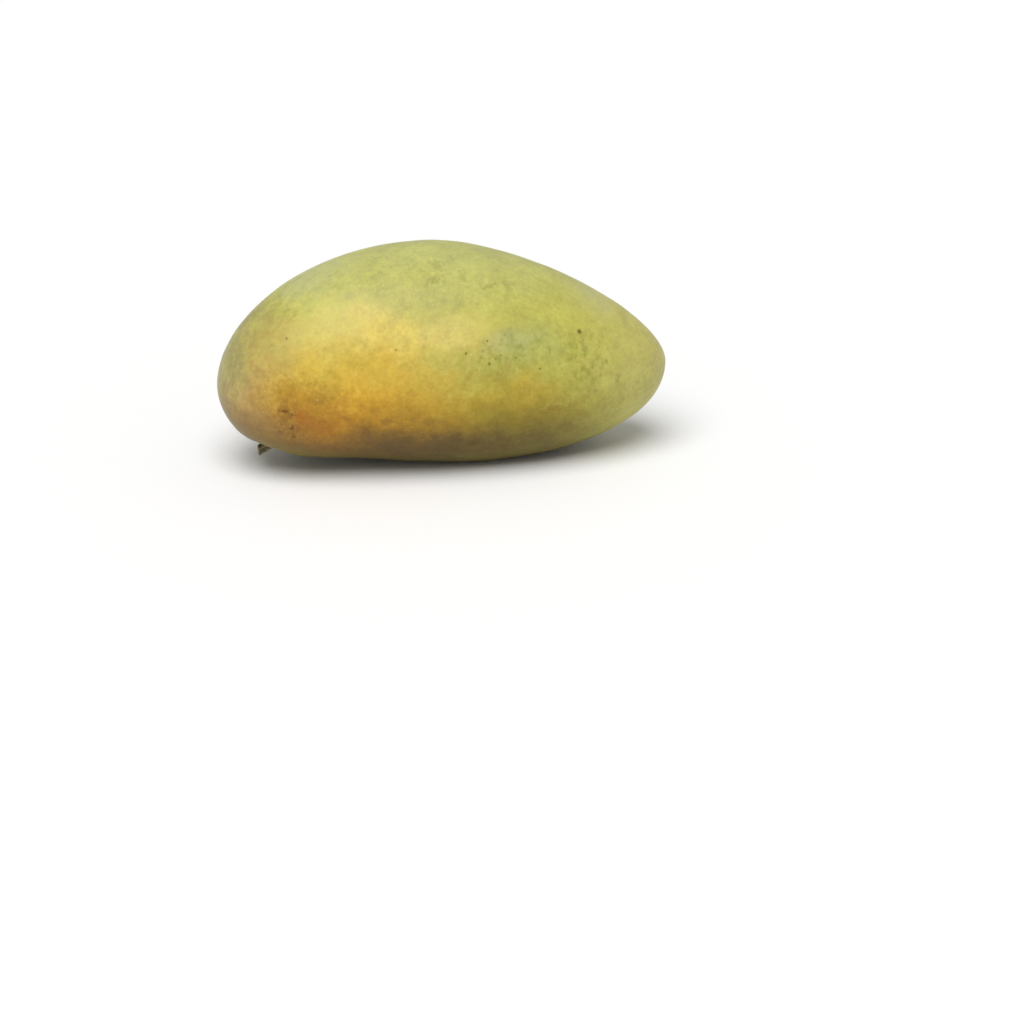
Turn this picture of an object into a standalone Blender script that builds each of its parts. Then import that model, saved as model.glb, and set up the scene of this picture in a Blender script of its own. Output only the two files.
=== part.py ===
"""A whole mango, picked with a short stub of its stalk, lying on its belly.

The fruit grew as one piece, so it is one solid. It is lofted from rings between the line of its
back and the line of its belly, which both run from the stalk to the tip. The stalk stands in a
plain hole at the bottom of the hollow round it. Both are modelled in the fruit's own frame, where
+X points to the tip and the back is up, and are parented to an empty that lays them down. In the
world -Y is the cheek that is seen from the front, and the origin is at the middle of the box
round the fruit, on the surface it lies on.
"""

import math

import bmesh
import bpy
import numpy as np
from mathutils import Matrix, Vector
from mathutils.geometry import interpolate_bezier

MM = 0.001

# The side outline, in millimetres. Each knot is (x, z), the heading of the line there in degrees,
# and how far its handles pull behind and ahead.
STALK_POINT = (-52.0, 6.2)
TIP_POINT = (69.3, 25.3)
BACK_LINE = (
    (STALK_POINT, 155, 0.0, 4.0),
    ((-66.5, 25.3), 90, 13.5, 16.5),
    ((-2.5, 65.4), 0, 40.0, 28.3),
    (TIP_POINT, -92, 14.3, 0.0),
)
BELLY_LINE = (
    (STALK_POINT, -25, 0.0, 12.7),
    ((-18.0, 0.5), -9, 13.7, 46.5),
    (TIP_POINT, 88, 21.0, 0.0),
)
LINE_STEPS = 120

# The cross-sections: thickness over height at the middle and at the ends, and how much plumper
# the back half is than the belly half.
MIDDLE_THICKNESS = 0.83
END_THICKNESS = 0.98
PLUMP_BACK = 0.06

# Gentle lumps all over the fruit: height, waves along it, waves round it and phase of each.
LUMPS = (
    (0.32, 1.5, 2, 0.6),
    (0.24, 2.5, 3, 2.1),
    (0.14, 4.0, 4, 4.0),
)

# The hollow round the stalk with its raised rim, and the small scar at the tip.
HOLLOW_DEPTH = 1.5
HOLLOW_RADIUS = 5.0
RIM_HEIGHT = 0.2
RIM_RADIUS = 9.0
RIM_WIDTH = 3.6
SCAR_HEIGHT = 0.15
SCAR_RADIUS = 2.2

# How the fruit lies: it leans back, and it has settled on a small flat spot under its belly.
LEAN = 14.0
FLAT_DEPTH = 1.15

# The stalk points this far below level. Its foot, which flares and rests in a plain hole, is sunk
# below the hollow's floor, and its free end is cut on a slant.
STALK_DOWN = 28.0
STALK_LENGTH = 7.2
STALK_SUNK = 2.6
STALK_RADIUS = 1.45
FOOT_FLARE = 0.35
FOOT_HEIGHT = 3.0
STALK_RIDGES = 5
RIDGE_HEIGHT = 0.12
CUT_SLANT = -24.0
GAP = 0.3
HOLE_RADIUS = STALK_RADIUS + FOOT_FLARE + RIDGE_HEIGHT + GAP

# How finely the solids are faceted.
RINGS = 60
RING_POINTS = 56
STALK_RINGS = 10
STALK_POINTS = 30
HOLE_POINTS = 32
SMOOTH_ANGLE = 40.0


def clear_scene():
    for obj in list(bpy.data.objects):
        bpy.data.objects.remove(obj, do_unlink=True)


def towards(heading):
    """The direction in the X-Z plane at this many degrees from +X towards +Z."""
    return np.array([math.cos(math.radians(heading)), 0.0, math.sin(math.radians(heading))])


def in_side_view(point):
    return np.array([point[0], 0.0, point[1]])


OUT_AT_STALK = towards(BACK_LINE[0][1] + 90)
OUT_AT_TIP = towards(BACK_LINE[-1][1] + 90)


# The fruit


def smooth_line(knots):
    """The points of a smooth line through the knots, close together, in the X-Z plane."""
    points = []
    for (start, leaving, _, ahead), (end, arriving, behind, _) in zip(knots, knots[1:]):
        first, last = in_side_view(start), in_side_view(end)
        span = interpolate_bezier(
            Vector(first),
            Vector(first + ahead * towards(leaving)),
            Vector(last - behind * towards(arriving)),
            Vector(last),
            LINE_STEPS,
        )
        points.extend(span[1:] if points else span)
    return np.array(points)


def along(line, shares):
    """The points at these shares of the line's length."""
    steps = np.linalg.norm(np.diff(line, axis=0), axis=1)
    reached = np.concatenate([[0.0], np.cumsum(steps)]) / steps.sum()
    return np.stack([np.interp(shares, reached, line[:, i]) for i in range(3)], axis=1)


def ring_shares(count):
    """Where the rings stand along the fruit, as shares of it, closer together at both ends."""
    steps = np.arange(1, count + 1) / (count + 1)
    return 0.25 * steps + 0.75 * (1 - np.cos(np.pi * steps)) / 2


def lumps_at(shares, angles):
    """Height of the gentle lumps: crossed waves that fade out towards both ends."""
    waves = sum(
        size * np.sin(np.pi * lengthwise * shares[:, None] + phase)
        * np.cos(crosswise * angles[None, :] + 2 * phase)
        for size, lengthwise, crosswise, phase in LUMPS
    )
    return waves * np.sin(np.pi * shares[:, None])


def bare_fruit(shares, angles):
    """Rings between the back and the belly: egg-shaped, with the back at angle 0."""
    back = along(smooth_line(BACK_LINE), shares)
    belly = along(smooth_line(BELLY_LINE), shares)
    half = (back - belly) / 2
    height = np.linalg.norm(half, axis=1)
    end = np.abs(2 * shares - 1) ** 3
    thickness = height * (MIDDLE_THICKNESS + (END_THICKNESS - MIDDLE_THICKNESS) * end)
    swell = 1 + lumps_at(shares, angles) / height[:, None]
    upward = swell * np.cos(angles)
    sideways = swell * np.sin(angles) * (1 + PLUMP_BACK * np.cos(angles))
    points = ((back + belly) / 2)[:, None, :] + upward[..., None] * half[:, None, :]
    points[..., 1] += sideways * thickness[:, None]
    return points


def pressed_and_raised(points):
    """The points moved by the hollow round the stalk, the rim round that, and the tip's scar."""
    from_stalk = np.linalg.norm(points - in_side_view(STALK_POINT), axis=-1)
    from_tip = np.linalg.norm(points - in_side_view(TIP_POINT), axis=-1)
    hollow = HOLLOW_DEPTH * np.exp(-((from_stalk / HOLLOW_RADIUS) ** 2))
    rim = RIM_HEIGHT * np.exp(-(((from_stalk - RIM_RADIUS) / RIM_WIDTH) ** 2))
    scar = SCAR_HEIGHT * np.exp(-((from_tip / SCAR_RADIUS) ** 2))
    return points + (rim - hollow)[..., None] * OUT_AT_STALK + scar[..., None] * OUT_AT_TIP


def loft(rings, first_pole, last_pole):
    """A closed mesh that skins the rings, with a fan to a pole at each end."""
    mesh = bmesh.new()
    loops = [[mesh.verts.new(point * MM) for point in ring] for ring in rings]
    first, last = mesh.verts.new(first_pole * MM), mesh.verts.new(last_pole * MM)
    count = len(loops[0])
    for i in range(count):
        after = (i + 1) % count
        mesh.faces.new((first, loops[0][i], loops[0][after]))
        mesh.faces.new((last, loops[-1][after], loops[-1][i]))
        for near, far in zip(loops, loops[1:]):
            mesh.faces.new((near[i], far[i], far[after], near[after]))
    bmesh.ops.recalc_face_normals(mesh, faces=mesh.faces)
    return mesh


def make_fruit():
    angles = np.linspace(0, 2 * np.pi, RING_POINTS, endpoint=False)
    rings = pressed_and_raised(bare_fruit(ring_shares(RINGS), angles))
    poles = pressed_and_raised(np.array([in_side_view(STALK_POINT), in_side_view(TIP_POINT)]))
    return loft(rings, *poles)


# The stalk and its hole


def stalk_foot():
    """The middle of the stalk's foot, sunk below the floor of the hollow."""
    floor = in_side_view(STALK_POINT) - HOLLOW_DEPTH * OUT_AT_STALK
    return floor - STALK_SUNK * towards(180 + STALK_DOWN)


def round_stalk(heights, radii, slants):
    """Rings round the stalk's axis. A slant tips its ring: a positive one so that the upper side
    stands ahead, and a negative one so that the lower side does."""
    angles = np.linspace(0, 2 * np.pi, radii.shape[1], endpoint=False)
    out, up = towards(180 + STALK_DOWN), towards(90 + STALK_DOWN)
    upward, sideways = radii * np.cos(angles), radii * np.sin(angles)
    ahead = heights[:, None] + np.tan(np.radians(slants))[:, None] * upward
    points = stalk_foot() + ahead[..., None] * out + upward[..., None] * up
    points[..., 1] += sideways
    return points


def make_stalk():
    """A ridged stub, thickest at its foot, whose rings come to slant as its cut end does."""
    share = np.linspace(0, 1, STALK_RINGS)
    angles = np.linspace(0, 2 * np.pi, STALK_POINTS, endpoint=False)
    flare = FOOT_FLARE * np.exp(-((share * STALK_LENGTH / FOOT_HEIGHT) ** 2))
    radii = (STALK_RADIUS + flare)[:, None] + RIDGE_HEIGHT * np.cos(STALK_RIDGES * angles)
    rings = round_stalk(share * STALK_LENGTH, radii, share * CUT_SLANT)
    return loft(rings, rings[0].mean(axis=0), rings[-1].mean(axis=0))


def make_stalk_hole():
    """A plain round peg that leaves the gap round the stalk and below its foot."""
    ends = np.array([-GAP, STALK_LENGTH])
    rings = round_stalk(ends, np.full((2, HOLE_POINTS), HOLE_RADIUS), np.zeros(2))
    return loft(rings, rings[0].mean(axis=0), rings[-1].mean(axis=0))


# Putting it together


def in_scene(name, mesh):
    data = bpy.data.meshes.new(name)
    mesh.to_mesh(data)
    mesh.free()
    obj = bpy.data.objects.new(name, data)
    bpy.context.collection.objects.link(obj)
    return obj


def finished(name, mesh, material):
    obj = in_scene(name, mesh)
    obj.data.shade_smooth()
    obj.data.set_sharp_from_angle(angle=math.radians(SMOOTH_ANGLE))
    obj.data.materials.append(material)
    return obj


def cut_away(obj, cutter):
    """Takes the cutter, which itself isn't part of the model, out of the object."""
    cutter.hide_render = True
    cutter.display_type = "WIRE"
    cut = obj.modifiers.new(cutter.name, "BOOLEAN")
    cut.operation = "DIFFERENCE"
    cut.solver = "EXACT"
    cut.object = cutter


def plain_material(name, colour, roughness):
    material = bpy.data.materials.new(name)
    material.use_nodes = True
    shader = material.node_tree.nodes["Principled BSDF"]
    shader.inputs["Base Color"].default_value = (*colour, 1)
    shader.inputs["Roughness"].default_value = roughness
    shader.inputs["Metallic"].default_value = 0.0
    return material


def lay_down(holder, fruit):
    """Leans the holder back, and sets it so that the fruit's flat spot is in the X-Y plane."""
    lean = Matrix.Rotation(math.radians(-LEAN), 4, "X")
    places = np.array([lean @ vertex.co for vertex in fruit.data.vertices])
    low, high = places.min(axis=0), places.max(axis=0)
    middle = (low + high) / 2
    holder.matrix_world = Matrix.Translation((-middle[0], -middle[1], -low[2] - FLAT_DEPTH * MM)) @ lean


def make_surface_block(size):
    """A block whose top is the surface that the fruit lies on."""
    mesh = bmesh.new()
    bmesh.ops.create_cube(mesh, size=size, matrix=Matrix.Translation((0, 0, -size / 2)))
    return mesh


def main():
    clear_scene()
    mango = bpy.data.objects.new("mango", None)
    bpy.context.collection.objects.link(mango)
    fruit = finished("fruit", make_fruit(), plain_material("skin", (0.45, 0.43, 0.13), 0.45))
    stalk = finished("stalk", make_stalk(), plain_material("bark", (0.13, 0.10, 0.06), 0.8))
    hole = in_scene("stalk_hole", make_stalk_hole())
    for obj in (fruit, stalk, hole):
        obj.parent = mango
    lay_down(mango, fruit)
    cut_away(fruit, hole)
    cut_away(fruit, in_scene("surface", make_surface_block(size=0.2)))


if __name__ == "__main__":
    main()
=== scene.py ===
import math

import bpy
import numpy as np
from mathutils import Matrix, Vector


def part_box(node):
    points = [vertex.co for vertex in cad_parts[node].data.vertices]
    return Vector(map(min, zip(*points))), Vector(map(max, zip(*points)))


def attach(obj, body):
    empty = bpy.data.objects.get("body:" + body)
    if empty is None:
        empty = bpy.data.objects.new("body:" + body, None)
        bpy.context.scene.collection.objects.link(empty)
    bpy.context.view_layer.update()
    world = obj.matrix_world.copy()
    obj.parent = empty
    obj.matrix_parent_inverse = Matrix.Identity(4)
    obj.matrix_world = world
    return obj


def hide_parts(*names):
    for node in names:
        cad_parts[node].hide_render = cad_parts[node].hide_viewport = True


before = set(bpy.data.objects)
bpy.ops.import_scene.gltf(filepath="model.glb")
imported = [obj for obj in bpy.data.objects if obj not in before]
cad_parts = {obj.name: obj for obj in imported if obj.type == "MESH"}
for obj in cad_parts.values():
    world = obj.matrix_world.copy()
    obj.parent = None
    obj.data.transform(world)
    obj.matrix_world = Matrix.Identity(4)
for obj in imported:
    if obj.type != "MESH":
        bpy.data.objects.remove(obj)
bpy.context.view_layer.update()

# The fruit: a whole mango, picked while its grey-green skin was turning yellow and orange. It is
# flesh round a flat stone, in a thin waxy skin with fine pores, and it grew in one piece, so this
# is one closed surface, from the hollow where the stalk stands to the small scar at the tip.

# The side outline. Each knot is (x, z), the heading of the line there in degrees, and how far its
# handles pull behind and ahead of it.
STALK_POINT = (-0.0520, 0.0062)
TIP_POINT = (0.0693, 0.0253)
BACK_LINE = (
    (STALK_POINT, 155, 0.0, 0.0040),
    ((-0.0665, 0.0253), 90, 0.0135, 0.0165),
    ((-0.0025, 0.0654), 0, 0.0400, 0.0283),
    (TIP_POINT, -92, 0.0143, 0.0),
)
BELLY_LINE = (
    (STALK_POINT, -25, 0.0, 0.0127),
    ((-0.0180, 0.0005), -9, 0.0137, 0.0465),
    (TIP_POINT, 88, 0.0210, 0.0),
)
LINE_STEPS = 1200

# The cross-sections: thickness over height at the middle and at the ends, and how much plumper
# the back half is than the belly half.
MIDDLE_THICKNESS = 0.83
END_THICKNESS = 0.98
PLUMP_BACK = 0.06

# Broad lumps: height, waves along the fruit, waves round it and phase of each.
LUMPS = (
    (0.00032, 1.5, 2, 0.6),
    (0.00024, 2.5, 3, 2.1),
    (0.00014, 4.0, 4, 4.0),
)

HOLLOW_DEPTH = 0.0015
HOLLOW_RADIUS = 0.0050
RIM_HEIGHT = 0.0002
RIM_RADIUS = 0.0090
RIM_WIDTH = 0.0036
SCAR_HEIGHT = 0.00015
SCAR_RADIUS = 0.0022
LEAN = 14.0

# Low relief: an unevenness of many waves, shallow dents, folds that run out from the stalk, and a
# collar of skin round its foot. Each dent has a middle, a radius and a depth.
WAVE_COUNT = 40
WAVE_LENGTHS = (0.006, 0.032)
WAVE_HEIGHT = 0.000025
WAVE_SEED = 4
DENTS = (
    ((-0.018, -0.030, 0.022), 0.0085, 0.00030),
    ((0.030, -0.022, 0.040), 0.0075, 0.00025),
    ((0.010, 0.028, 0.030), 0.0100, 0.00035),
    ((-0.035, 0.024, 0.040), 0.0070, 0.00025),
    ((0.020, -0.008, 0.062), 0.0080, 0.00025),
)
FOLD_COUNT = 9
FOLD_WANDER = 1.5
FOLD_DEPTH = 0.00010
FOLD_RADIUS = 0.0062
FOLD_WIDTH = 0.0026
COLLAR_HEIGHT = 0.00060
COLLAR_RADIUS = 0.0026
COLLAR_WIDTH = 0.0006

SKIN_RINGS = 340
EVEN_SPACING = 0.25
SKIN_POINTS = 280


def towards(heading):
    """The direction in the X-Z plane at this many degrees from +X towards +Z."""
    return np.array([math.cos(math.radians(heading)), 0.0, math.sin(math.radians(heading))])


def in_side_view(point):
    """A point (x, z) of the side view in space, where Y is 0."""
    return np.array([point[0], 0.0, point[1]])


OUT_AT_STALK = towards(BACK_LINE[0][1] + 90)
OUT_AT_TIP = towards(BACK_LINE[-1][1] + 90)


def smooth_line(knots):
    """Cubic Bezier spans from knot to knot, whose handles lie along the knots' headings."""
    t = np.linspace(0, 1, LINE_STEPS, endpoint=False)[:, None]
    spans = []
    for (start, leaving, _, ahead), (end, arriving, behind, _) in zip(knots, knots[1:]):
        first = in_side_view(start)
        last = in_side_view(end)
        leave = first + ahead * towards(leaving)
        arrive = last - behind * towards(arriving)
        spans.append(
            (1 - t) ** 3 * first
            + 3 * (1 - t) ** 2 * t * leave
            + 3 * (1 - t) * t**2 * arrive
            + t**3 * last
        )
    return np.concatenate([*spans, in_side_view(knots[-1][0])[None]])


def along(line, shares):
    """The points at these shares of the line's length, found by its running length."""
    steps = np.linalg.norm(np.diff(line, axis=0), axis=1)
    reached = np.concatenate([[0.0], np.cumsum(steps)]) / steps.sum()
    return np.stack([np.interp(shares, reached, line[:, axis]) for axis in range(3)], axis=1)


def ring_shares(count):
    """Shares of the fruit's length: even steps by a share, and for the rest half a cosine wave,
    which sets the rings closer together at both ends."""
    steps = np.arange(1, count + 1) / (count + 1)
    crowded = (1 - np.cos(np.pi * steps)) / 2
    return EVEN_SPACING * steps + (1 - EVEN_SPACING) * crowded


def lumps_at(shares, angles):
    """Crossed waves, sine along and cosine round, that fade out towards both ends."""
    waves = sum(
        height
        * np.sin(np.pi * lengthwise * shares[:, None] + phase)
        * np.cos(crosswise * angles[None, :] + 2 * phase)
        for height, lengthwise, crosswise, phase in LUMPS
    )
    return waves * np.sin(np.pi * shares[:, None])


def bare_fruit(shares, angles):
    """Rings halfway between back and belly: half their distance times the cosine upwards, and
    times the thickness, the sine and a plumper upper half sideways."""
    back = along(smooth_line(BACK_LINE), shares)
    belly_shade = along(smooth_line(BELLY_LINE), shares)
    half = (back - belly_shade) / 2
    height = np.linalg.norm(half, axis=1)
    end = np.abs(2 * shares - 1) ** 3
    thickness = height * (MIDDLE_THICKNESS + (END_THICKNESS - MIDDLE_THICKNESS) * end)
    swell = 1 + lumps_at(shares, angles) / height[:, None]
    upward = swell * np.cos(angles)
    sideways = swell * np.sin(angles) * (1 + PLUMP_BACK * np.cos(angles))
    points = ((back + belly_shade) / 2)[:, None, :] + upward[..., None] * half[:, None, :]
    points[..., 1] += sideways * thickness[:, None]
    return points


def bell(distance, width):
    """1 at no distance, falling off as exp(-(distance / width) squared)."""
    return np.exp(-((distance / width) ** 2))


def pressed_and_raised(points):
    """Bells of the distance from each pole: the hollow, its rim and the collar along the stalk's
    outward direction, and the scar along the tip's."""
    from_stalk = np.linalg.norm(points - in_side_view(STALK_POINT), axis=-1)
    from_tip = np.linalg.norm(points - in_side_view(TIP_POINT), axis=-1)
    rise = (
        RIM_HEIGHT * bell(from_stalk - RIM_RADIUS, RIM_WIDTH)
        + COLLAR_HEIGHT * bell(from_stalk - COLLAR_RADIUS, COLLAR_WIDTH)
        - HOLLOW_DEPTH * bell(from_stalk, HOLLOW_RADIUS)
    )
    scar = SCAR_HEIGHT * bell(from_tip, SCAR_RADIUS)
    return points + rise[..., None] * OUT_AT_STALK + scar[..., None] * OUT_AT_TIP


def outward(rings):
    """Unit normals of a grid of rings: the cross product of the steps along and round it."""
    lengthwise = np.gradient(rings, axis=0)
    crosswise = np.roll(rings, -1, axis=1) - np.roll(rings, 1, axis=1)
    normals = np.cross(lengthwise, crosswise)
    return normals / np.linalg.norm(normals, axis=-1, keepdims=True)


def waves_at(points, span, height, seed):
    """Plane waves added up, whose lengths fill the span and whose directions and phases are
    seeded, each as high as it is long, up to the given height."""
    draw = np.random.default_rng(seed)
    ways = draw.normal(size=(WAVE_COUNT, 3))
    ways /= np.linalg.norm(ways, axis=1, keepdims=True)
    lengths = np.geomspace(*span, WAVE_COUNT)
    phases = draw.uniform(0, 2 * np.pi, WAVE_COUNT)
    heights = height * lengths / span[1]
    return np.cos(2 * np.pi * points @ (ways / lengths[:, None]).T + phases) @ heights


def folds_at(points):
    """A cosine of the angle round the stalk, which wanders with a sine of twice the angle, times a
    bell of the distance from the folds' middle."""
    offset = points - in_side_view(STALK_POINT)
    angle = np.arctan2(offset[..., 1], offset @ towards(BACK_LINE[0][1]))
    ripple = np.cos(FOLD_COUNT * angle + FOLD_WANDER * np.sin(2 * angle))
    distance = np.linalg.norm(offset, axis=-1)
    return FOLD_DEPTH * ripple * bell(distance - FOLD_RADIUS, FOLD_WIDTH)


def leaned(points):
    """The points turned back about X by the lean, so that the ridge of the back goes to +Y."""
    turn = math.radians(-LEAN)
    rows = [[1, 0, 0], [0, math.cos(turn), -math.sin(turn)], [0, math.sin(turn), math.cos(turn)]]
    return points @ np.array(rows).T


def closed_surface(name, rings, first_pole, last_pole, shares):
    """A mesh of quads between neighbouring rings, with a fan of triangles to each pole. Its map
    unrolls it, with the shares of the length as U and the way round as V."""
    count, size = rings.shape[:2]
    here = np.arange(size)
    after = (here + 1) % size
    low = (np.arange(count - 1) * size)[:, None]
    quads = np.stack([low + here, low + size + here, low + size + after, low + after], axis=-1)
    first_fan = np.stack([np.full(size, count * size), here, after], axis=-1)
    last_fan = np.stack([np.full(size, count * size + 1), after, here], axis=-1)
    last_fan[:, 1:] += (count - 1) * size
    mesh = bpy.data.meshes.new(name)
    mesh.from_pydata(
        np.concatenate([rings.reshape(-1, 3), [first_pole, last_pole]]),
        [],
        [*quads.reshape(-1, 4).tolist(), *first_fan.tolist(), *last_fan.tolist()],
    )

    v = here / size
    next_v = v + 1 / size
    middle_v = v + 0.5 / size
    quad_u, quad_v = np.broadcast_arrays(shares[:-1, None], v)
    next_u, quad_next_v = np.broadcast_arrays(shares[1:, None], next_v)
    quad_map = np.stack(
        [quad_u, quad_v, next_u, quad_v, next_u, quad_next_v, quad_u, quad_next_v], axis=-1
    )
    first_u = np.full(size, shares[0])
    last_u = np.full(size, shares[-1])
    first_map = np.stack([0 * v, middle_v, first_u, v, first_u, next_v], axis=-1)
    last_map = np.stack([0 * v + 1, middle_v, last_u, next_v, last_u, v], axis=-1)
    unrolled = np.concatenate([quad_map.ravel(), first_map.ravel(), last_map.ravel()])
    mesh.uv_layers.new(name="OFBake").data.foreach_set("uv", unrolled.astype(np.float32))
    mesh.shade_smooth()
    mesh.update()
    piece = bpy.data.objects.new(name, mesh)
    bpy.context.collection.objects.link(piece)
    return piece


skin_shares = ring_shares(SKIN_RINGS)
skin_angles = np.linspace(-np.pi, np.pi, SKIN_POINTS, endpoint=False)
skin_rings = pressed_and_raised(bare_fruit(skin_shares, skin_angles))
skin_poles = pressed_and_raised(np.stack([in_side_view(STALK_POINT), in_side_view(TIP_POINT)]))
unevenness = waves_at(skin_rings, WAVE_LENGTHS, WAVE_HEIGHT, WAVE_SEED) + folds_at(skin_rings)
skin_rings = leaned(skin_rings + unevenness[..., None] * outward(skin_rings))
skin_poles = leaned(skin_poles)

# The fruit lies where its solid lies: the same middle in X and Y, and the same top.
solid_low, solid_high = (np.array(corner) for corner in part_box("fruit"))
skin_middle = (skin_rings.min(axis=(0, 1)) + skin_rings.max(axis=(0, 1))) / 2
shift = (solid_low + solid_high) / 2 - skin_middle
shift[2] = solid_high[2] - skin_rings[..., 2].max()
skin_rings = skin_rings + shift
skin_poles = skin_poles + shift
for dent_middle, dent_radius, dent_depth in DENTS:
    dent = dent_depth * bell(np.linalg.norm(skin_rings - dent_middle, axis=-1), dent_radius)
    skin_rings = skin_rings - dent[..., None] * outward(skin_rings)
skin_rings[..., 2] = np.maximum(skin_rings[..., 2], 0)

fruit = closed_surface("mango_fruit", skin_rings, *skin_poles, skin_shares)


def add(tree, kind, inputs=None, **settings):
    """A new node with these settings, whose inputs are set to values or linked from outputs."""
    node = tree.nodes.new(kind)
    for name, value in settings.items():
        setattr(node, name, value)
    for name, value in (inputs or {}).items():
        if isinstance(value, bpy.types.NodeSocket):
            tree.links.new(value, node.inputs[name])
        else:
            node.inputs[name].default_value = value
    return node


def maths(tree, operation, *values):
    """The result of one operation on values or outputs."""
    return add(tree, "ShaderNodeMath", dict(enumerate(values)), operation=operation).outputs[0]


def faded(tree, value, start, end):
    """0 where the value is at the start, 1 where it is at the end, and a smooth step between."""
    inputs = {"Value": value, "From Min": start, "From Max": end}
    return add(tree, "ShaderNodeMapRange", inputs, interpolation_type="SMOOTHSTEP").outputs[0]


def mixed(tree, share, first, second):
    """The first colour turned into the second by a share from 0 to 1."""
    colours = [c if isinstance(c, bpy.types.NodeSocket) else (*c, 1.0) for c in (first, second)]
    inputs = {0: share, 6: colours[0], 7: colours[1]}
    return add(tree, "ShaderNodeMix", inputs, data_type="RGBA").outputs[2]


def stained(tree, share, colour, tint):
    """The colour with a share of it multiplied by the tint."""
    inputs = {0: share, 6: colour, 7: (*tint, 1.0)}
    return add(tree, "ShaderNodeMix", inputs, data_type="RGBA", blend_type="MULTIPLY").outputs[2]


def cloud(tree, point, size, detail=3.0):
    """Noise from 0 to 1, mostly near a half, with lumps of about this size."""
    inputs = {"Vector": point, "Scale": 1 / size, "Detail": detail}
    return add(tree, "ShaderNodeTexNoise", inputs).outputs[0]


# Clouds of lighter and darker growth, each with its size beside the middling one and its weight,
# and the detail and roughness of their noise.
MOTTLES = (("Broad", 2.5, 0.40), ("Middling", 1.0, 0.58), ("Fine", 0.34, 0.40))
MOTTLE_DETAIL = 4.0
MOTTLE_ROUGHNESS = 0.62


def mottling():
    """A node group of the clouds and the brightness that they add up to: 1, plus the strength
    times the sum of each cloud less a half times its weight."""
    group = bpy.data.node_groups.new("mottling", "ShaderNodeTree")
    group.interface.new_socket("Point", in_out="INPUT", socket_type="NodeSocketVector")
    for socket in ("Size", "Strength"):
        group.interface.new_socket(socket, in_out="INPUT", socket_type="NodeSocketFloat")
    for socket in ("Brightness", "Broad", "Middling", "Fine"):
        group.interface.new_socket(socket, in_out="OUTPUT", socket_type="NodeSocketFloat")
    given = add(group, "NodeGroupInput").outputs
    result = add(group, "NodeGroupOutput").inputs
    total = 0.0
    for socket, size, weight in MOTTLES:
        scale = maths(group, "DIVIDE", 1 / size, given["Size"])
        inputs = {
            "Vector": given["Point"],
            "Scale": scale,
            "Detail": MOTTLE_DETAIL,
            "Roughness": MOTTLE_ROUGHNESS,
        }
        noise = add(group, "ShaderNodeTexNoise", inputs).outputs[0]
        group.links.new(noise, result[socket])
        total = maths(group, "ADD", total, maths(group, "MULTIPLY_ADD", noise, weight, -weight / 2))
    brightness = maths(group, "MULTIPLY_ADD", total, given["Strength"], 1.0)
    group.links.new(brightness, result["Brightness"])
    return group


def mottled(tree, group, point, size, strength):
    """The group of clouds placed in a material: its brightness and its three clouds."""
    node = add(tree, "ShaderNodeGroup", node_tree=group)
    tree.links.new(point, node.inputs["Point"])
    node.inputs["Size"].default_value = size
    node.inputs["Strength"].default_value = strength
    return tuple(node.outputs)


def frayed(tree, point, size, reach):
    """The point moved about by a noise of this size, so that what is drawn there has uneven edges:
    the point, plus the noise's three channels less a half, times twice the reach."""
    noise = add(tree, "ShaderNodeTexNoise", {"Vector": point, "Scale": 1 / size, "Detail": 3.0})
    inputs = {0: noise.outputs["Color"], 1: (2 * reach,) * 3, 2: point}
    moved = add(tree, "ShaderNodeVectorMath", inputs, operation="MULTIPLY_ADD").outputs[0]
    inputs = {0: moved, 1: (reach,) * 3}
    return add(tree, "ShaderNodeVectorMath", inputs, operation="SUBTRACT").outputs[0]


def patch(tree, point, middle, reach, soft=0.5, ragged=0.0):
    """1 well inside an ellipsoid and 0 well outside it: a smooth step of the distance from its
    middle, measured along each of its axes in units of its reach there, plus a raggedness."""
    inputs = {"Vector": point, "Location": middle, "Scale": reach}
    own = add(tree, "ShaderNodeMapping", inputs, vector_type="TEXTURE").outputs[0]
    distance = add(tree, "ShaderNodeVectorMath", {0: own}, operation="LENGTH").outputs["Value"]
    return faded(tree, maths(tree, "ADD", distance, ragged), 1 + soft, 1 - soft)


FAINTEST_DOT = 0.3


def dots(tree, point, spacing, radius, share, soft=0.5):
    """Soft dots in the middles of Voronoi cells of this spacing, in a share of the cells. A cell's
    random colour gives its dot a radius from half to one and a half times the given one, and a
    strength from that of the faintest dot to 1."""
    cells = add(tree, "ShaderNodeTexVoronoi", {"Vector": point, "Scale": 1 / spacing})
    random = add(tree, "ShaderNodeSeparateColor", {0: cells.outputs["Color"]})
    size = maths(tree, "MULTIPLY_ADD", random.outputs[0], radius / spacing, radius / spacing / 2)
    inner = maths(tree, "MULTIPLY", size, 1 - soft)
    chosen = maths(tree, "LESS_THAN", random.outputs[1], share)
    strength = maths(tree, "MULTIPLY_ADD", random.outputs[2], 1 - FAINTEST_DOT, FAINTEST_DOT)
    strength = maths(tree, "MULTIPLY", chosen, strength)
    return maths(tree, "MULTIPLY", faded(tree, cells.outputs["Distance"], size, inner), strength)


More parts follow.
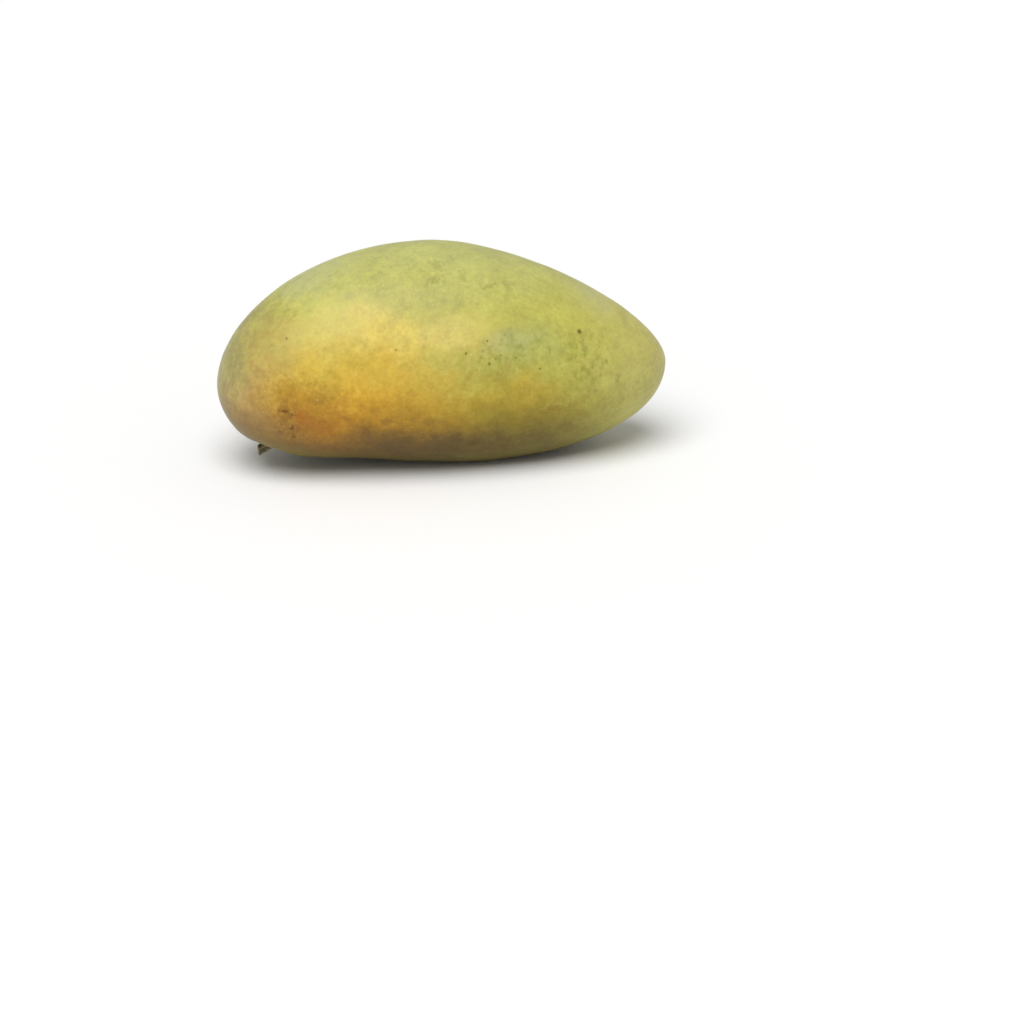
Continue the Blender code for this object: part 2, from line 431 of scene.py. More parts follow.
# The skin's own colours, under its pores and marks.
KHAKI = (0.44, 0.41, 0.078)
PALE_KHAKI = (0.48, 0.43, 0.12)
GREY_GREEN = (0.44, 0.44, 0.145)
COOL_GREEN = (0.36, 0.38, 0.115)
LEAF_GREEN = (0.30, 0.34, 0.06)
STRAW = (0.62, 0.485, 0.11)
GOLD = (0.58, 0.39, 0.045)
ORANGE = (0.67, 0.345, 0.014)
DEEP_ORANGE = (0.40, 0.17, 0.008)
ROSY_TAN = (0.45, 0.285, 0.095)
OLIVE_TAN = (0.31, 0.275, 0.095)
DULL_OLIVE = (0.33, 0.29, 0.09)
OLIVE_GOLD = (0.39, 0.295, 0.014)
BROWN_GOLD = (0.42, 0.26, 0.020)
BROWN = (0.25, 0.17, 0.025)
SOFT_OLIVE = (0.365, 0.345, 0.070)
PALE_STRAW = (0.62, 0.53, 0.17)
TAN_GOLD = (0.40, 0.315, 0.073)

# Where the khaki skin has turned another colour, laid one over another: the colour, the middle of
# the patch, its reach along X, Y and Z, and its share. The brown patch low on the belly is partly the
# skin's colour and partly painted shade.
RIPENESS = (
    (GREY_GREEN, (0.000, 0.008, 0.067), (0.062, 0.034, 0.016), 0.9),
    (PALE_KHAKI, (0.060, -0.010, 0.034), (0.018, 0.022, 0.022), 0.8),
    (COOL_GREEN, (0.018, -0.028, 0.041), (0.014, 0.012, 0.007), 0.6),
    (LEAF_GREEN, (0.006, 0.026, 0.036), (0.050, 0.016, 0.020), 0.6),
    (STRAW, (-0.045, 0.018, 0.034), (0.018, 0.014, 0.014), 0.6),
    (OLIVE_GOLD, (-0.020, 0.022, 0.014), (0.036, 0.012, 0.012), 0.7),
    (DULL_OLIVE, (-0.056, -0.010, 0.045), (0.009, 0.018, 0.013), 0.8),
    (TAN_GOLD, (-0.051, -0.018, 0.0425), (0.010, 0.012, 0.007), 0.8),
    (STRAW, (-0.019, -0.026, 0.045), (0.028, 0.016, 0.009), 0.85),
    (OLIVE_GOLD, (0.008, -0.026, 0.019), (0.031, 0.016, 0.013), 0.9),
    (GOLD, (-0.030, -0.028, 0.033), (0.030, 0.016, 0.009), 0.85),
    (ORANGE, (-0.031, -0.025, 0.018), (0.028, 0.016, 0.012), 0.95),
    (ROSY_TAN, (-0.060, -0.014, 0.024), (0.014, 0.020, 0.015), 0.9),
    (OLIVE_TAN, (-0.066, -0.002, 0.039), (0.007, 0.022, 0.016), 0.9),
    (BROWN_GOLD, (-0.046, -0.025, 0.029), (0.011, 0.010, 0.006), 0.85),
    (BROWN_GOLD, (-0.008, -0.028, 0.024), (0.014, 0.010, 0.006), 0.45),
    # Brown low on the belly: partly ripe skin, partly painted shade.
    (BROWN, (-0.012, -0.025, 0.010), (0.026, 0.012, 0.007), 0.75),
    (SOFT_OLIVE, (-0.011, -0.019, 0.0560), (0.012, 0.010, 0.0065), 0.6),
    (DEEP_ORANGE, (-0.043, -0.024, 0.024), (0.012, 0.010, 0.008), 0.6),
    (GOLD, (0.019, -0.028, 0.0265), (0.009, 0.010, 0.005), 0.35),
    (PALE_STRAW, (-0.001, -0.0255, 0.0485), (0.009, 0.010, 0.0045), 0.5),
    (SOFT_OLIVE, (-0.0033, -0.0287, 0.0415), (0.007, 0.010, 0.0035), 0.45),
)

# The patches' edges: the size and reach of the two noises that fray them, how soft they are, and
# how much the clouds tear them.
PATCH_FRAY = ((0.022, 0.0060), (0.006, 0.0026))
PATCH_SOFTNESS = 0.65
PATCH_RAGGED = 0.5

# Skin that isn't ripe has greener clouds, and ripe skin has browner ones. How ripe it is shows by
# how much redder than green it is, from the first of these differences to the second.
GREENER = (0.35, 0.37, 0.08)
GREENER_SHARE = 0.25
BROWNER = (0.42, 0.24, 0.020)
BROWNER_SHARE = 0.18
RIPE_SKIN = (0.04, 0.13)
CLOUD_SIZE = 0.0034
CLOUD_STRENGTH = 1.15
CLOUD_LEVELS = (0.46, 0.62)

# Painted shade on the belly, darker towards the bottom: its tint, the heights where it begins and is
# full, and where along the fruit it ends.
BELLY_SHADE_TINT = (0.37, 0.31, 0.21)
BELLY_SHADE_HEIGHTS = (0.030, 0.008)
BELLY_SHADE_END = (0.060, 0.030)

# Marks on the skin, which are drops of sap, rust, scuffs and small pale spots: a colour, a middle, a
# reach along X, Y and Z, and a share of each. A noise frays their edges, and the clouds tear them.
SAP_BROWN = (0.20, 0.095, 0.012)
SAP_DARK = (0.125, 0.042, 0.003)
RUST = (0.40, 0.13, 0.01)
SCUFF_BROWN = (0.24, 0.14, 0.02)
SCUFF_OLIVE = (0.22, 0.22, 0.04)
SPOT_PALE = (0.60, 0.58, 0.19)
MARKS = (
    (SAP_BROWN, (-0.0503, -0.0230, 0.0235), (0.0015, 0.005, 0.0040), 0.35),
    (SAP_BROWN, (-0.0480, -0.0220, 0.0160), (0.0014, 0.005, 0.0040), 0.4),
    (SAP_DARK, (-0.0506, -0.0233, 0.0244), (0.0011, 0.003, 0.0007), 0.75),
    (SAP_DARK, (-0.0484, -0.0229, 0.0191), (0.0006, 0.003, 0.0006), 0.8),
    (SAP_DARK, (-0.0478, -0.0216, 0.0156), (0.0012, 0.003, 0.0007), 0.8),
    (SAP_DARK, (-0.0482, -0.0240, 0.0234), (0.0006, 0.003, 0.0005), 0.6),
    (SAP_DARK, (-0.0512, -0.0217, 0.0178), (0.0005, 0.003, 0.0005), 0.5),
    (RUST, (-0.0456, -0.0246, 0.0231), (0.0020, 0.004, 0.0020), 0.6),
    (RUST, (-0.0400, -0.0240, 0.0190), (0.0060, 0.004, 0.0026), 0.3),
    (SCUFF_BROWN, (0.0293, -0.0256, 0.0213), (0.0022, 0.004, 0.0012), 0.5),
    (SCUFF_BROWN, (-0.0195, -0.0278, 0.0210), (0.0026, 0.004, 0.0014), 0.45),
    (SCUFF_BROWN, (-0.0075, -0.0285, 0.0205), (0.0022, 0.004, 0.0014), 0.45),
    (SCUFF_OLIVE, (-0.0043, -0.0171, 0.0598), (0.0020, 0.004, 0.0006), 0.45),
    (SCUFF_OLIVE, (0.0036, -0.0153, 0.0602), (0.0011, 0.004, 0.0012), 0.35),
    (SCUFF_OLIVE, (0.0110, -0.0170, 0.0576), (0.0016, 0.004, 0.0007), 0.45),
    (SCUFF_OLIVE, (0.0163, -0.0149, 0.0575), (0.0008, 0.004, 0.0008), 0.4),
    (SCUFF_OLIVE, (-0.0031, -0.0113, 0.0627), (0.0016, 0.004, 0.0010), 0.3),
    (SCUFF_OLIVE, (0.0174, -0.0184, 0.0546), (0.0018, 0.004, 0.0014), 0.3),
    (SCUFF_OLIVE, (0.0387, -0.0223, 0.0377), (0.0009, 0.004, 0.0014), 0.5),
    (SCUFF_OLIVE, (0.0277, -0.0251, 0.0394), (0.0004, 0.004, 0.0014), 0.45),
    (SCUFF_OLIVE, (0.0458, -0.0211, 0.0331), (0.0010, 0.004, 0.0009), 0.4),
    (SCUFF_OLIVE, (0.0498, -0.0203, 0.0272), (0.0005, 0.004, 0.0008), 0.5),
    (SPOT_PALE, (-0.0061, -0.0170, 0.0594), (0.0005, 0.003, 0.0005), 0.4),
    (SPOT_PALE, (-0.0029, -0.0191, 0.0577), (0.0005, 0.003, 0.0004), 0.35),
    (SPOT_PALE, (0.0107, -0.0159, 0.0586), (0.0006, 0.003, 0.0004), 0.4),
    (SPOT_PALE, (0.0090, -0.0231, 0.0520), (0.0006, 0.003, 0.0004), 0.4),
    (SPOT_PALE, (0.0368, -0.0233, 0.0371), (0.0006, 0.003, 0.0005), 0.5),
    (SPOT_PALE, (0.0320, -0.0254, 0.0344), (0.0011, 0.003, 0.0004), 0.45),
    (SCUFF_BROWN, (0.0150, 0.0260, 0.0330), (0.0035, 0.006, 0.0015), 0.5),
    (SCUFF_BROWN, (-0.0300, 0.0240, 0.0380), (0.0020, 0.006, 0.0030), 0.45),
    (SCUFF_BROWN, (0.0480, 0.0100, 0.0440), (0.0022, 0.003, 0.0020), 0.45),
)
MARK_FRAY = (0.0030, 0.0016)
MARK_SOFTNESS = 0.75
MARK_RAGGED = 2.4

# Where the skin's pale wax is thick, it looks grey: its colour and softness, and the middle, reach
# and share of each place.
WAX_GREY = (0.43, 0.44, 0.24)
WAX_SOFTNESS = 0.9
WAX = (
    ((0.0160, -0.0270, 0.0430), (0.0070, 0.008, 0.0030), 0.3),
    ((-0.0380, -0.0020, 0.0580), (0.0100, 0.010, 0.0060), 0.5),
    ((0.0460, -0.0040, 0.0500), (0.0120, 0.010, 0.0050), 0.4),
    ((-0.0100, 0.0200, 0.0520), (0.0160, 0.010, 0.0080), 0.5),
)

# Sap has run down the skin below the stalk: the place and reach of its trails, how wide they are,
# how many times as long, the noise above which there is a trail, and its share.
SAP_PLACE = (-0.0490, -0.0220, 0.0190)
SAP_REACH = (0.0034, 0.0080, 0.0085)
SAP_WIDTH = 0.0010
SAP_STRETCH = 8.0
SAP_LEVELS = (0.50, 0.64)
SAP_SHARE = 0.55

# The skin is olive on the shoulder round the stalk, corky on the tip's scar, and dark brown on the
# collar at the stalk's foot, partly cork and partly painted shade where the stalk meets the fruit: the
# colour, reach, softness and share of each.
SHOULDER_OLIVE = (0.25, 0.24, 0.07)
SHOULDER_REACH = 0.0085
SHOULDER_SOFTNESS = 0.6
SHOULDER_SHARE = 0.6
COLLAR_CORK_AND_SHADE = (0.105, 0.085, 0.035)
COLLAR_REACH = 0.0040
COLLAR_SOFTNESS = 0.3
COLLAR_SHARE = 0.85
SCAR_BROWN = (0.17, 0.11, 0.045)
SCAR_REACH = 0.0013
SCAR_SOFTNESS = 0.6
SCAR_SHARE = 0.8

# Dark specks that stand out, each a middle and a radius, and the noise that frays them. The smaller
# ones are anywhere: their spacing, radius, share of the places and softness. All of them stain the
# skin below them.
SPECK_STAIN = (0.34, 0.31, 0.16)
SPECKS = (
    ((0.0378, -0.0201, 0.0427), 0.00068),
    ((0.0090, -0.0274, 0.0440), 0.00028),
    ((0.0025, -0.0289, 0.0410), 0.00036),
    ((0.0093, -0.0293, 0.0375), 0.00046),
    ((0.0174, -0.0280, 0.0386), 0.00026),
    ((0.0458, -0.0207, 0.0333), 0.00036),
    ((0.0248, -0.0272, 0.0344), 0.00028),
    ((-0.0486, -0.0178, 0.0450), 0.00034),
    ((-0.0529, -0.0170, 0.0428), 0.00026),
    ((-0.0179, -0.0277, 0.0429), 0.00034),
    ((-0.0214, -0.0217, 0.0535), 0.00026),
)
SPECK_FRAY = (0.00055, 0.00042)
SPECK_SOFTNESS = 0.6
SMALL_SPECKS = (0.0055, 0.00030, 0.35, 0.7)

# Where flecks and freckles gather, each place a middle, a reach and a share, and the share of them
# that is anywhere else. Flecks are small clouds between two levels. Freckles are dots, with their
# spacing, radius, share of the places and softness.
FRECKLED = (
    ((-0.0480, -0.0230, 0.0200), (0.0040, 0.010, 0.0070), 0.4),
    ((0.0140, -0.0280, 0.0400), (0.0120, 0.010, 0.0055), 0.9),
    ((0.0395, -0.0210, 0.0350), (0.0060, 0.010, 0.0090), 1.0),
    ((-0.0120, -0.0280, 0.0215), (0.0140, 0.010, 0.0040), 0.5),
    ((0.0300, 0.0200, 0.0400), (0.0160, 0.012, 0.0100), 0.8),
    ((-0.0420, -0.0080, 0.0560), (0.0160, 0.012, 0.0060), 0.5),
)
FRECKLED_ELSEWHERE = 0.10
FLECK_STAIN = (0.74, 0.77, 0.55)
FLECK_SIZE = 0.0022
FLECK_LEVELS = (0.44, 0.72)
FRECKLE_STAIN = (0.62, 0.58, 0.40)
FRECKLES = (0.0019, 0.00050, 0.5, 0.9)

# The skin's pores are small pale dots, of two sizes: the spacing, radius and share of each, and the
# share of the places and the softness of both.
PORE_PALE = (0.72, 0.60, 0.22)
PORES = ((0.0024, 0.00040, 0.34), (0.0013, 0.00027, 0.20))
PORE_PLACES = 0.8
PORE_SOFTNESS = 0.65

# The skin's finest relief: the size, detail and height of its grain, and what cork and pores add to
# it. Then how rough the skin is, and what the clouds, and marks and cork, add. Its wax shines softly.
GRAIN_SIZE = 0.0008
GRAIN_DETAIL = 2.0
GRAIN_HEIGHT = 0.00003
CORK_HEIGHT = 0.00012
PORE_HEIGHT = 0.00008
SKIN_ROUGHNESS = 0.32
CLOUD_ROUGHNESS = 0.20
MARK_ROUGHNESS = 0.35
SKIN_SHINE = 0.30
SKIN_SHEEN = 0.03
SHEEN_ROUGHNESS = 0.5

skin = bpy.data.materials.new("mango_skin")
skin.use_nodes = True
tree = skin.node_tree
shader = tree.nodes["Principled BSDF"]
place = add(tree, "ShaderNodeTexCoord").outputs["Object"]
wandering = place
for fray_size, fray_reach in PATCH_FRAY:
    wandering = frayed(tree, wandering, fray_size, fray_reach)
growth = mottling()
brightness, broad, middling, fine = mottled(tree, growth, place, CLOUD_SIZE, CLOUD_STRENGTH)
uneven = maths(tree, "SUBTRACT", maths(tree, "ADD", middling, fine), 1.0)

colour = KHAKI
ragged = maths(tree, "MULTIPLY", uneven, PATCH_RAGGED)
for patch_colour, middle, reach, share in RIPENESS:
    inside = patch(tree, wandering, middle, reach, PATCH_SOFTNESS, ragged)
    colour = mixed(tree, maths(tree, "MULTIPLY", inside, share), colour, patch_colour)

channels = add(tree, "ShaderNodeSeparateColor", {0: colour}).outputs
ripe = faded(tree, maths(tree, "SUBTRACT", channels[0], channels[1]), *RIPE_SKIN)
unripe = maths(tree, "SUBTRACT", 1.0, ripe)
greener = maths(tree, "MULTIPLY", faded(tree, middling, *CLOUD_LEVELS), unripe)
colour = mixed(tree, maths(tree, "MULTIPLY", greener, GREENER_SHARE), colour, GREENER)
browner = maths(tree, "MULTIPLY", faded(tree, broad, *CLOUD_LEVELS), ripe)
colour = mixed(tree, maths(tree, "MULTIPLY", browner, BROWNER_SHARE), colour, BROWNER)
colour = add(tree, "ShaderNodeHueSaturation", {"Value": brightness, "Color": colour}).outputs[0]

pores = 0.0
for spacing, radius, share in PORES:
    inside = dots(tree, place, spacing, radius, PORE_PLACES, PORE_SOFTNESS)
    pores = maths(tree, "MULTIPLY_ADD", inside, share, pores)
colour = mixed(tree, pores, colour, PORE_PALE)

at = add(tree, "ShaderNodeSeparateXYZ", {0: wandering}).outputs
# Painted shade: the skin is multiplied darker towards the bottom of the belly, fading out towards the
# tip.
belly_shade = maths(tree, "MULTIPLY", faded(tree, at[2], *BELLY_SHADE_HEIGHTS), faded(tree, at[0], *BELLY_SHADE_END))
colour = stained(tree, belly_shade, colour, BELLY_SHADE_TINT)

for middle, reach, share in WAX:
    inside = patch(tree, wandering, middle, reach, WAX_SOFTNESS, ragged)
    colour = mixed(tree, maths(tree, "MULTIPLY", inside, share), colour, WAX_GREY)

edges = frayed(tree, place, *MARK_FRAY)
ragged = maths(tree, "MULTIPLY", uneven, MARK_RAGGED)
marked = 0.0
for mark_colour, middle, reach, share in MARKS:
    inside = patch(tree, edges, middle, reach, MARK_SOFTNESS, ragged)
    inside = maths(tree, "MULTIPLY", inside, share)
    colour = mixed(tree, inside, colour, mark_colour)
    marked = maths(tree, "MAXIMUM", marked, inside)

inputs = {"Vector": edges, "Scale": (1.0, 1.0, SAP_STRETCH)}
stretched = add(tree, "ShaderNodeMapping", inputs, vector_type="TEXTURE").outputs[0]
trails = faded(tree, cloud(tree, stretched, SAP_WIDTH), *SAP_LEVELS)
sap = maths(tree, "MULTIPLY", trails, patch(tree, edges, SAP_PLACE, SAP_REACH))
colour = mixed(tree, maths(tree, "MULTIPLY", sap, SAP_SHARE), colour, SAP_BROWN)

stalk_pole, tip_pole = (tuple(map(float, pole)) for pole in skin_poles)
shoulder = patch(tree, edges, stalk_pole, (SHOULDER_REACH,) * 3, SHOULDER_SOFTNESS, ragged)
colour = mixed(tree, maths(tree, "MULTIPLY", shoulder, SHOULDER_SHARE), colour, SHOULDER_OLIVE)
# The collar's dark brown is partly cork and partly painted shade in the hollow where the stalk meets
# the fruit.
collar_cork_and_shade = patch(tree, place, stalk_pole, (COLLAR_REACH,) * 3, COLLAR_SOFTNESS, uneven)
colour = mixed(tree, maths(tree, "MULTIPLY", collar_cork_and_shade, COLLAR_SHARE), colour, COLLAR_CORK_AND_SHADE)
scar = patch(tree, place, tip_pole, (SCAR_REACH,) * 3, SCAR_SOFTNESS, ragged)
colour = mixed(tree, maths(tree, "MULTIPLY", scar, SCAR_SHARE), colour, SCAR_BROWN)
corky = maths(tree, "MAXIMUM", collar_cork_and_shade, scar)

edges = frayed(tree, place, *SPECK_FRAY)
gathered = FRECKLED_ELSEWHERE
for middle, reach, share in FRECKLED:
    inside = patch(tree, wandering, middle, reach)
    gathered = maths(tree, "MULTIPLY_ADD", inside, share, gathered)
flecks = faded(tree, cloud(tree, edges, FLECK_SIZE), *FLECK_LEVELS)
colour = stained(tree, maths(tree, "MULTIPLY", flecks, gathered), colour, FLECK_STAIN)
freckles = maths(tree, "MULTIPLY", dots(tree, edges, *FRECKLES), gathered)
colour = stained(tree, freckles, colour, FRECKLE_STAIN)
specks = dots(tree, edges, *SMALL_SPECKS)
for middle, radius in SPECKS:
    inside = patch(tree, edges, middle, (radius,) * 3, SPECK_SOFTNESS)
    specks = maths(tree, "MAXIMUM", specks, inside)
colour = stained(tree, specks, colour, SPECK_STAIN)

grain = cloud(tree, place, GRAIN_SIZE, GRAIN_DETAIL)
grain_height = maths(tree, "MULTIPLY_ADD", corky, CORK_HEIGHT, GRAIN_HEIGHT)
relief = maths(tree, "MULTIPLY", grain, grain_height)
relief = maths(tree, "MULTIPLY_ADD", pores, PORE_HEIGHT, relief)
normal = add(tree, "ShaderNodeBump", {"Height": relief, "Strength": 1.0, "Distance": 1.0}).outputs[0]
rough = maths(tree, "MULTIPLY_ADD", middling, CLOUD_ROUGHNESS, SKIN_ROUGHNESS)
dull = maths(tree, "MAXIMUM", marked, corky)
rough = maths(tree, "MULTIPLY_ADD", dull, MARK_ROUGHNESS, rough)

tree.links.new(colour, shader.inputs["Base Color"])
tree.links.new(rough, shader.inputs["Roughness"])
tree.links.new(normal, shader.inputs["Normal"])
shader.inputs["Specular IOR Level"].default_value = SKIN_SHINE
shader.inputs["Sheen Weight"].default_value = SKIN_SHEEN
shader.inputs["Sheen Roughness"].default_value = SHEEN_ROUGHNESS
fruit.data.materials.append(skin)

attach(fruit, "root")
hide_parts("fruit")

# The stalk: the short woody stub that was left when the fruit was picked. It is dry, ridged bark
# round pale wood, it grew out of the hollow, and it was cut off at a slant, which left it rough.

# The stalk points away from the fruit and down by some degrees. A part of it is sunk below the floor
# of the hollow, its foot flares, and its cut slants by some degrees, so that its lower side is longer.
STALK_DOWN = 28.0
STALK_LENGTH = 0.0072
STALK_SUNK = 0.0026
STALK_RADIUS = 0.00145
FOOT_FLARE = 0.00035
FOOT_HEIGHT = 0.0030
STALK_RIDGES = 5
RIDGE_HEIGHT = 0.00012
CUT_SLANT = -24.0

# The bark's fine ridges, which wander along the stalk and round it by so many radians, and its
# unevenness. The cut's worn edge, dished middle and rough face.
FINE_RIDGES = 13
FINE_HEIGHT = 0.000040
FINE_WAVE = 0.0046
WANDER_ALONG = 1.3
WANDER_ROUND = 1.6
BARK_LENGTHS = (0.0004, 0.0024)
BARK_UNEVENNESS = 0.000016
BARK_SEED = 7
EDGE_WEAR = 0.00016
CUT_DISH = 0.00014
CUT_LENGTHS = (0.0003, 0.0012)
CUT_ROUGHNESS = 0.000016
CUT_SEED = 8
BARK_RINGS = 74
BARK_SPACING = 0.9
CUT_RINGS = 16
BARK_POINTS = 112


def bark_relief(heights, angles):
    """A few broad ridges along the stalk and many fine ones, cosines of the angle round it. The
    fine ones wander with two sines, of the height and of the angle."""
    wander = WANDER_ALONG * np.sin(2 * np.pi * heights / FINE_WAVE)[:, None]
    wander = wander + WANDER_ROUND * np.sin(2 * angles)
    fine_ridges = FINE_HEIGHT * np.cos(FINE_RIDGES * angles + wander)
    return RIDGE_HEIGHT * np.cos(STALK_RIDGES * angles) + fine_ridges


def stub(heights, angles):
    """Rings round the stalk's axis, each of which slants more than the one before, up to the
    slant of the cut. A radius is the stalk's plus the relief and a bell from the foot, less a
    narrow bell at the cut's edge."""
    out = towards(180 + STALK_DOWN)
    upwards = towards(90 + STALK_DOWN)
    foot = in_side_view(STALK_POINT) - HOLLOW_DEPTH * OUT_AT_STALK - STALK_SUNK * out
    flare = FOOT_FLARE * bell(heights, FOOT_HEIGHT)
    worn = EDGE_WEAR * bell(STALK_LENGTH - heights, EDGE_WEAR)
    radii = STALK_RADIUS + (flare - worn)[:, None] + bark_relief(heights, angles)
    upward = radii * np.cos(angles)
    slants = np.tan(np.radians(CUT_SLANT * heights / STALK_LENGTH))[:, None]
    ahead = heights[:, None] + slants * upward
    points = foot + ahead[..., None] * out + upward[..., None] * upwards
    points[..., 1] -= radii * np.sin(angles)
    return points


def cut_face(rim):
    """Rings from the cut's rim to its middle: the rim drawn in evenly, and dished and roughened
    along the stalk by an amount that falls to nothing at the rim, as 1 less the share squared."""
    shares = np.linspace(1, 0, CUT_RINGS + 2)[1:, None, None]
    middle = rim.mean(axis=0)
    face = middle + shares * (rim - middle)
    rough = waves_at(face, CUT_LENGTHS, CUT_ROUGHNESS, CUT_SEED)[..., None]
    return face + (rough - CUT_DISH) * (1 - shares**2) * towards(180 + STALK_DOWN)


# The bark's rings lie closer together towards the cut: their heights follow a quarter of a sine
# wave, raised to a power a little under 1.
bark_heights = STALK_LENGTH * np.sin(np.linspace(0, np.pi / 2, BARK_RINGS)) ** BARK_SPACING
bark_angles = np.linspace(np.pi, 3 * np.pi, BARK_POINTS, endpoint=False)
bark = stub(bark_heights, bark_angles)
bark_unevenness = waves_at(bark, BARK_LENGTHS, BARK_UNEVENNESS, BARK_SEED)
bark = bark + bark_unevenness[..., None] * outward(bark)
face = cut_face(bark[-1])
stalk_rings = np.concatenate([bark, face[:-1]])
stalk_poles = np.stack([bark[0].mean(axis=0), face[-1].mean(axis=0)])

# The stalk lies where its solid lies: the middles of their boxes are in the same place.
stalk_rings = leaned(stalk_rings)
stalk_poles = leaned(stalk_poles)
corner_sum = np.array(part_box("stalk")).sum(axis=0)
stalk_shift = (corner_sum - stalk_rings.min(axis=(0, 1)) - stalk_rings.max(axis=(0, 1))) / 2
stalk_rings = stalk_rings + stalk_shift
stalk_poles = stalk_poles + stalk_shift

face_shares = np.linspace(1, 0, CUT_RINGS + 2)[1:-1]
stalk_run = np.concatenate([bark_heights, STALK_LENGTH + (1 - face_shares) * STALK_RADIUS])
stalk_run = stalk_run / (STALK_LENGTH + STALK_RADIUS)
stalk = closed_surface("mango_stalk", stalk_rings, *stalk_poles, stalk_run)

# What the bark's material reads at each point: how far up a ridge it is, whether it is on the cut,
# and how far it is from the middle of the cut, as shares.
ridge = bark_relief(bark_heights, bark_angles)
ridge = (ridge - ridge.min()) / (ridge.max() - ridge.min())
on_face = np.ones((CUT_RINGS, BARK_POINTS))
for attribute, on_bark, on_cut, at_foot, at_middle in (
    ("ridge", ridge, on_face, 0.5, 1.0),
    ("cut", 0 * ridge, on_face, 0.0, 1.0),
    ("wood", 0 * ridge + 1, face_shares[:, None] * on_face, 1.0, 0.0),
):
    values = np.concatenate([on_bark.ravel(), on_cut.ravel(), [at_foot, at_middle]])
    layer = stalk.data.attributes.new(attribute, "FLOAT", "POINT")
    layer.data.foreach_set("value", values.astype(np.float32))

# The bark is dark in its furrows, grey on its ridges and green in places. The cut shows pale wood,
# with brown pith in the middle and a dark edge. Each pair of levels is where a colour begins and
# where it is full.
BARK_DARK = (0.105, 0.085, 0.048)
BARK_GREY = (0.235, 0.205, 0.125)
BARK_GREEN = (0.160, 0.155, 0.065)
WOOD_GREY = (0.36, 0.33, 0.25)
PITH_BROWN = (0.13, 0.09, 0.045)
BARK_CLOUD_SIZE = 0.0010
BARK_CLOUD_STRENGTH = 1.8
RIDGE_LEVELS = (0.2, 0.9)
GREEN_LEVELS = (0.48, 0.62)
GREEN_SHARE = 0.5
PITH_LEVELS = (0.32, 0.14)
CUT_EDGE_LEVELS = (0.78, 0.94)
BARK_GRAIN_SIZE = 0.00030
BARK_GRAIN_HEIGHT = 0.00005
BARK_ROUGHNESS = 0.75
BARK_ROUGHNESS_SPREAD = 0.2
BARK_SHINE = 0.25
bark_finish = bpy.data.materials.new("mango_bark")
bark_finish.use_nodes = True
tree = bark_finish.node_tree
shader = tree.nodes["Principled BSDF"]
place = add(tree, "ShaderNodeTexCoord").outputs["Object"]
ridge, cut, wood = (
    add(tree, "ShaderNodeAttribute", attribute_name=name).outputs["Fac"]
    for name in ("ridge", "cut", "wood")
)
brightness, broad, middling, fine = mottled(
    tree, growth, place, BARK_CLOUD_SIZE, BARK_CLOUD_STRENGTH
)
uneven_ridge = maths(tree, "ADD", ridge, maths(tree, "SUBTRACT", fine, 0.5))
colour = mixed(tree, faded(tree, uneven_ridge, *RIDGE_LEVELS), BARK_DARK, BARK_GREY)
green = maths(tree, "MULTIPLY", faded(tree, broad, *GREEN_LEVELS), GREEN_SHARE)
colour = mixed(tree, green, colour, BARK_GREEN)
uneven_wood = maths(tree, "ADD", wood, maths(tree, "SUBTRACT", middling, 0.5))
face_colour = mixed(tree, faded(tree, uneven_wood, *PITH_LEVELS), WOOD_GREY, PITH_BROWN)
face_colour = mixed(tree, faded(tree, wood, *CUT_EDGE_LEVELS), face_colour, BARK_DARK)
colour = mixed(tree, cut, colour, face_colour)
colour = add(tree, "ShaderNodeHueSaturation", {"Value": brightness, "Color": colour}).outputs[0]
relief = maths(tree, "MULTIPLY", cloud(tree, place, BARK_GRAIN_SIZE), BARK_GRAIN_HEIGHT)
normal = add(tree, "ShaderNodeBump", {"Height": relief, "Strength": 1.0, "Distance": 1.0}).outputs[0]
rough = maths(tree, "MULTIPLY_ADD", fine, BARK_ROUGHNESS_SPREAD, BARK_ROUGHNESS)
tree.links.new(colour, shader.inputs["Base Color"])
tree.links.new(rough, shader.inputs["Roughness"])
tree.links.new(normal, shader.inputs["Normal"])
shader.inputs["Specular IOR Level"].default_value = BARK_SHINE
stalk.data.materials.append(bark_finish)

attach(stalk, "root")
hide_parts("stalk")

# The floor: a plain pale sheet that the fruit lies on. It carries the fruit's shadow and isn't part
# of the object.

FLOOR_COLOUR = (0.83, 0.83, 0.83)
FLOOR_ROUGHNESS = 0.9
FLOOR_SIZE = 20.0
bpy.ops.mesh.primitive_plane_add(size=FLOOR_SIZE)
floor = bpy.context.object
floor.name = "floor"
paper = bpy.data.materials.new("pale_floor")
paper.use_nodes = True
shader = paper.node_tree.nodes["Principled BSDF"]
shader.inputs["Base Color"].default_value = (*FLOOR_COLOUR, 1.0)
shader.inputs["Roughness"].default_value = FLOOR_ROUGHNESS
floor.data.materials.append(paper)

# The light: one broad lamp high on the left in front, and an even pale sky, which is white where
# the camera sees it.

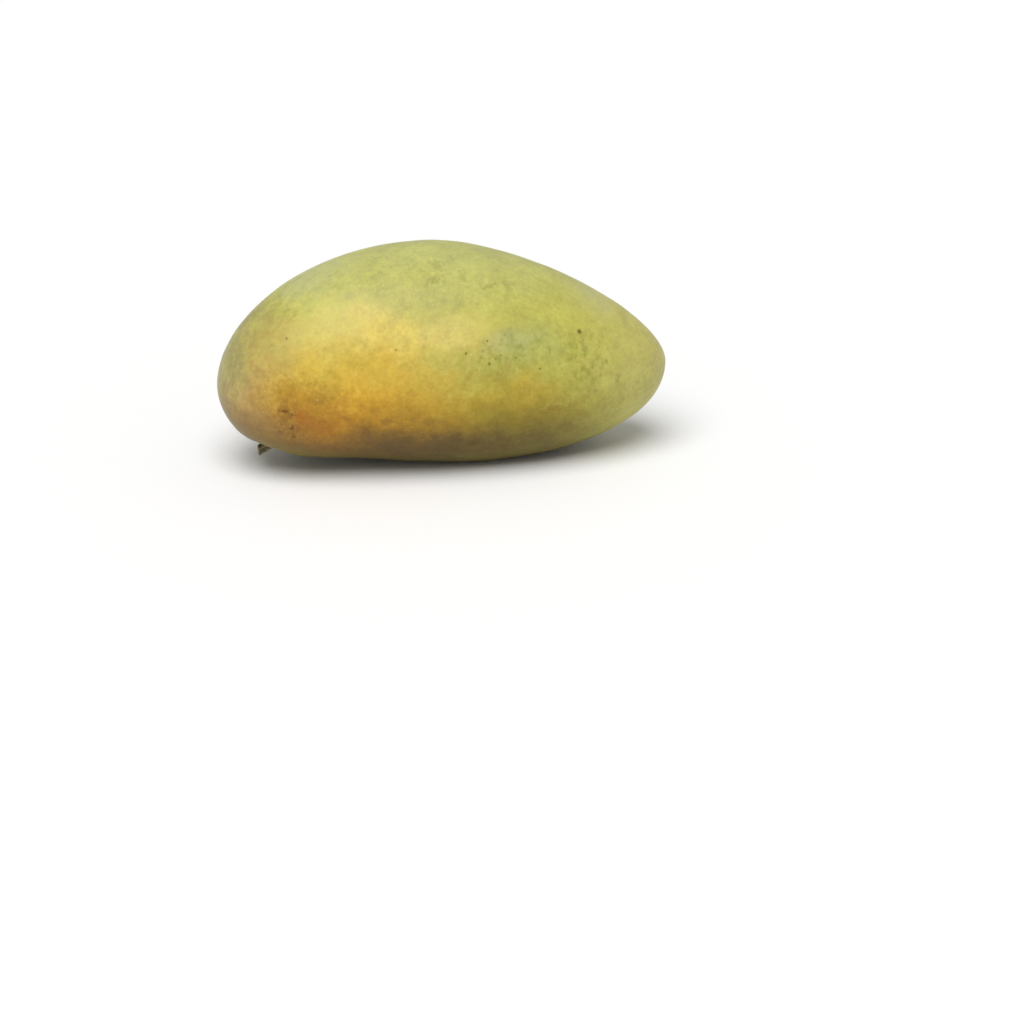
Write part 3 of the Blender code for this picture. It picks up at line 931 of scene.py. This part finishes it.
SKY_BRIGHTNESS = 0.42
LAMP_BRIGHTNESS = 2.8
LAMP_WIDTH = 50.0
LAMP_FROM = (-0.20, -0.38, 0.88)
sky = bpy.data.worlds.new("sky")
sky.use_nodes = True
tree = sky.node_tree
background = tree.nodes["Background"]
background.inputs["Color"].default_value = (1.0, 1.0, 1.0, 1.0)
seen = add(tree, "ShaderNodeLightPath").outputs["Is Camera Ray"]
strength = maths(tree, "MULTIPLY_ADD", seen, 1 - SKY_BRIGHTNESS, SKY_BRIGHTNESS)
tree.links.new(strength, background.inputs["Strength"])
bpy.context.scene.world = sky
lamp_data = bpy.data.lights.new("lamp", "SUN")
lamp_data.energy = LAMP_BRIGHTNESS
lamp_data.angle = math.radians(LAMP_WIDTH)
lamp = bpy.data.objects.new("lamp", lamp_data)
lamp.matrix_world = Vector(LAMP_FROM).to_track_quat("Z", "Y").to_matrix().to_4x4()
bpy.context.collection.objects.link(lamp)
bpy.context.scene.view_settings.view_transform = "Standard"

# The camera, where the photograph was taken from: a little to the stalk's side, looking down. The
# middle of the fruit's box is put on its own pixel of the photograph's frame.

PHOTO_SIZE = 1024
FRUIT_PIXEL = (442.5, 349.0)
PIXEL_SIZE = 0.00030
CAMERA_AZIMUTH = math.radians(-10.0)
CAMERA_ELEVATION = math.radians(22.0)
CAMERA_DISTANCE = 1.0
SENSOR_WIDTH = 36.0
back = Vector((
    math.sin(CAMERA_AZIMUTH) * math.cos(CAMERA_ELEVATION),
    -math.cos(CAMERA_AZIMUTH) * math.cos(CAMERA_ELEVATION),
    math.sin(CAMERA_ELEVATION),
))
right = Vector((math.cos(CAMERA_AZIMUTH), math.sin(CAMERA_AZIMUTH), 0.0))
up = back.cross(right)
fruit_middle = Vector((solid_low + solid_high) / 2)
aside = (FRUIT_PIXEL[0] - PHOTO_SIZE / 2) * PIXEL_SIZE
above = (PHOTO_SIZE / 2 - FRUIT_PIXEL[1]) * PIXEL_SIZE
viewpoint = fruit_middle + back * CAMERA_DISTANCE - right * aside - up * above
camera_data = bpy.data.cameras.new("camera")
camera_data.sensor_width = SENSOR_WIDTH
camera_data.lens = SENSOR_WIDTH * CAMERA_DISTANCE / (PIXEL_SIZE * PHOTO_SIZE)
camera = bpy.data.objects.new("camera", camera_data)
camera.matrix_world = Matrix.Translation(viewpoint) @ Matrix((right, up, back)).transposed().to_4x4()
bpy.context.collection.objects.link(camera)
bpy.context.scene.camera = camera
